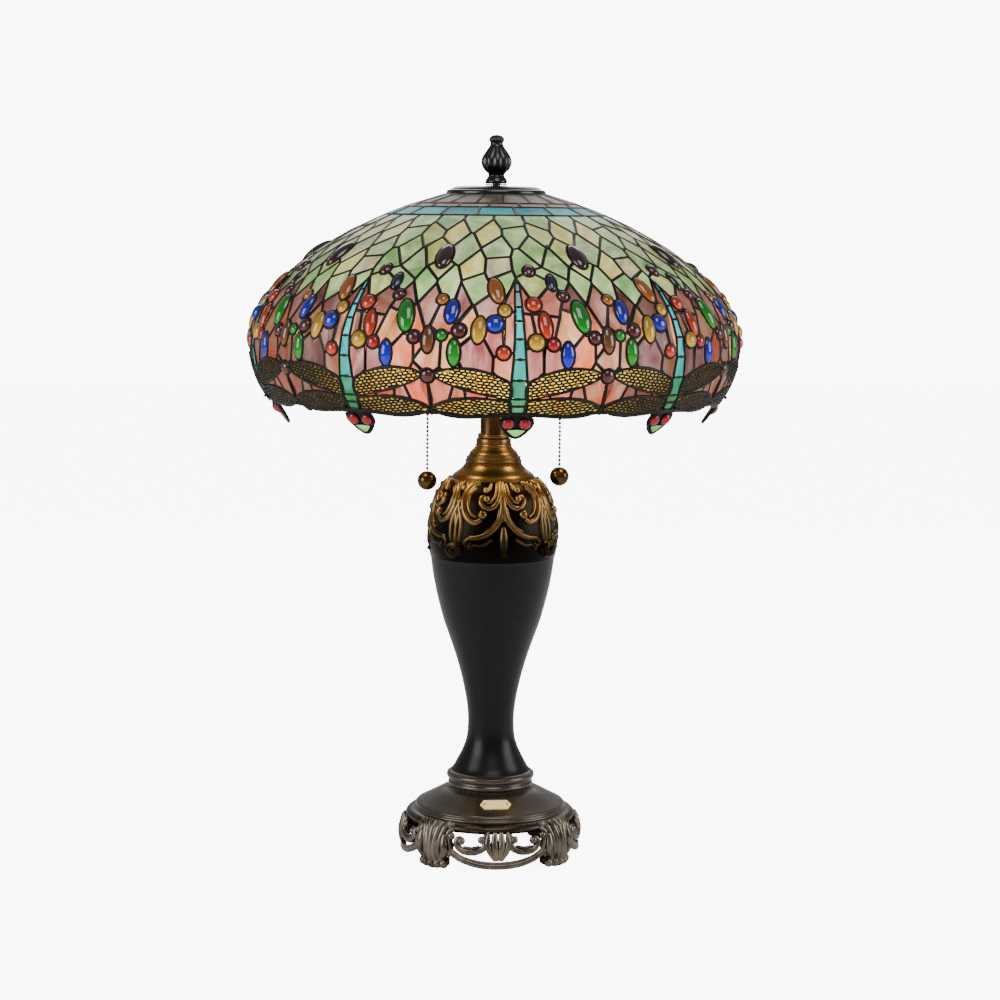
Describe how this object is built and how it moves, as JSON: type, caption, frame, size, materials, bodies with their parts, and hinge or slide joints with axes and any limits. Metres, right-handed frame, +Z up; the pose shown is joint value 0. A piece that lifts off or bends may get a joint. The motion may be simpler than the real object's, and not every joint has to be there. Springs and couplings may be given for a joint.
{
  "type": "table lamp",
  "caption": "Table lamp with a domed leaded glass dragonfly shade, an urn shaped bronze base on scrolled paw feet and pull chain switches.",
  "frame": {"origin": "centre of the feet on the plane the lamp stands on", "axes": "+Z up along the stem, -Y towards the front with the name plate, +X to the right pull chain"},
  "size_m": [0.5092, 0.5057, 0.7497],
  "materials": {
    "antique_bronze": "antique bronze, worn highlights",
    "felt": "green felt",
    "dark_bronze": "near-black satin bronze",
    "iron": "raw iron",
    "steel": "zinc plated",
    "brass": "plain brass",
    "aged_brass": "aged brass",
    "black_plastic": "moulded",
    "fibre": "fibre board",
    "bulb_metal": "stamped",
    "bulb_glass": "frosted",
    "black_metal": "gunmetal, glossy",
    "grey_green_glass": "opalescent",
    "pink_glass": "opalescent",
    "teal_glass": "opalescent",
    "olive_glass": "opalescent",
    "blush_glass": "opalescent",
    "amber_glass": "opalescent",
    "blue_green_glass": "opalescent",
    "red_glass": "pressed, clear",
    "lead": "dark patina solder"
  },
  "bodies": {
    "base": {"foot_casting": "antique_bronze", "foot_pads": "felt", "base_plinth": "dark_bronze", "ballast_plate": "iron", "base_washer": "steel", "base_nut": "brass", "base_moulding": "dark_bronze", "urn_body": "dark_bronze", "scroll_collar": "antique_bronze", "neck_cone_lower": "aged_brass", "neck_cone_upper": "aged_brass", "stem_tube": "aged_brass", "lamp_pipe": "brass", "name_plate": "brass", "name_plate_pins": "brass", "cord_bushing": "black_plastic", "cluster_body": "aged_brass", "cluster_cap": "aged_brass", "riser_rod": "brass", "shade_seat": "brass", "left_socket_cap": "aged_brass", "left_socket_shell": "aged_brass", "left_socket_liner": "fibre", "left_screw_shell": "brass", "left_switch_body": "black_plastic", "left_chain_bell": "aged_brass", "right_socket_cap": "aged_brass", "right_socket_shell": "aged_brass", "right_socket_liner": "fibre", "right_screw_shell": "brass", "right_switch_body": "black_plastic", "right_chain_bell": "aged_brass"},
    "left_rotor": {"left_switch_rotor": "brass"},
    "left_slider": {"left_chain_slider": "aged_brass"},
    "left_chain": {"left_pull_chain": "aged_brass", "left_pull_ball": "aged_brass"},
    "left_bulb": {"left_bulb_base": "bulb_metal", "left_bulb_glass": "bulb_glass"},
    "right_rotor": {"right_switch_rotor": "brass"},
    "right_slider": {"right_chain_slider": "aged_brass"},
    "right_chain": {"right_pull_chain": "aged_brass", "right_pull_ball": "aged_brass"},
    "right_bulb": {"right_bulb_base": "bulb_metal", "right_bulb_glass": "bulb_glass"},
    "finial_washer_body": {"finial_washer": "brass"},
    "finial_body": {"finial": "black_metal"},
    "shade": {"vase_cap": "black_metal", "crown_ring": "black_metal", "crown_row_green": "grey_green_glass", "crown_row_pink": "pink_glass", "crown_row_teal": "teal_glass", "leaf_glass": "olive_glass", "blush_glass": "blush_glass", "wing_glass": "amber_glass", "dragonfly_bodies": "blue_green_glass", "dragonfly_heads": "blue_green_glass", "dragonfly_eyes": "red_glass", "jewels": "red_glass", "lead_rings": "lead", "lead_ribs": "lead"}
  },
  "joints": [
    {"name": "shade_turn", "type": "hinge", "parent": "base", "child": "shade", "pos_m": [0, 0, 0.6965], "axis": [0, 0, 1], "continuous": true},
    {"name": "finial_turn", "type": "hinge", "parent": "base", "child": "finial_washer_body", "pos_m": [0, 0, 0.6979], "axis": [0, 0, 1], "range_deg": [0, 1800]},
    {"name": "finial_rise", "type": "slide", "parent": "finial_washer_body", "child": "finial_body", "axis": [0, 0, 1], "range_m": [0, 0.0064]},
    {"name": "left_bulb_out", "type": "slide", "parent": "base", "child": "left_bulb", "axis": [-0.9781, 0, 0.2079], "range_m": [0, 0.03]},
    {"name": "left_pull", "type": "slide", "parent": "base", "child": "left_slider", "axis": [0, 0, -1], "range_m": [0, 0.008], "stiffness_N_per_m": 150, "springref_m": -0.01},
    {"name": "left_swing", "type": "hinge", "parent": "left_slider", "child": "left_chain", "pos_m": [-0.069, 0, 0.51975], "axis": [1, 0, 0], "range_deg": [-25, 25]},
    {"name": "left_rotor_turn", "type": "hinge", "parent": "base", "child": "left_rotor", "pos_m": [-0.069, 0, 0.53525], "axis": [0, 1, 0], "range_deg": [0, 37]},
    {"name": "right_bulb_out", "type": "slide", "parent": "base", "child": "right_bulb", "axis": [0.9781, 0, 0.2079], "range_m": [0, 0.03]},
    {"name": "right_pull", "type": "slide", "parent": "base", "child": "right_slider", "axis": [0, 0, -1], "range_m": [0, 0.008], "stiffness_N_per_m": 150, "springref_m": -0.01},
    {"name": "right_swing", "type": "hinge", "parent": "right_slider", "child": "right_chain", "pos_m": [0.069, 0, 0.51975], "axis": [1, 0, 0], "range_deg": [-25, 25]},
    {"name": "right_rotor_turn", "type": "hinge", "parent": "base", "child": "right_rotor", "pos_m": [0.069, 0, 0.53525], "axis": [0, 1, 0], "range_deg": [0, 37]}
  ],
  "couplings": [
    {"joint": "finial_rise", "follows": "finial_turn", "m_per_rad": 0.000202},
    {"joint": "left_rotor_turn", "follows": "left_pull", "rad_per_m": 78.54},
    {"joint": "right_rotor_turn", "follows": "right_pull", "rad_per_m": 78.54}
  ]
}
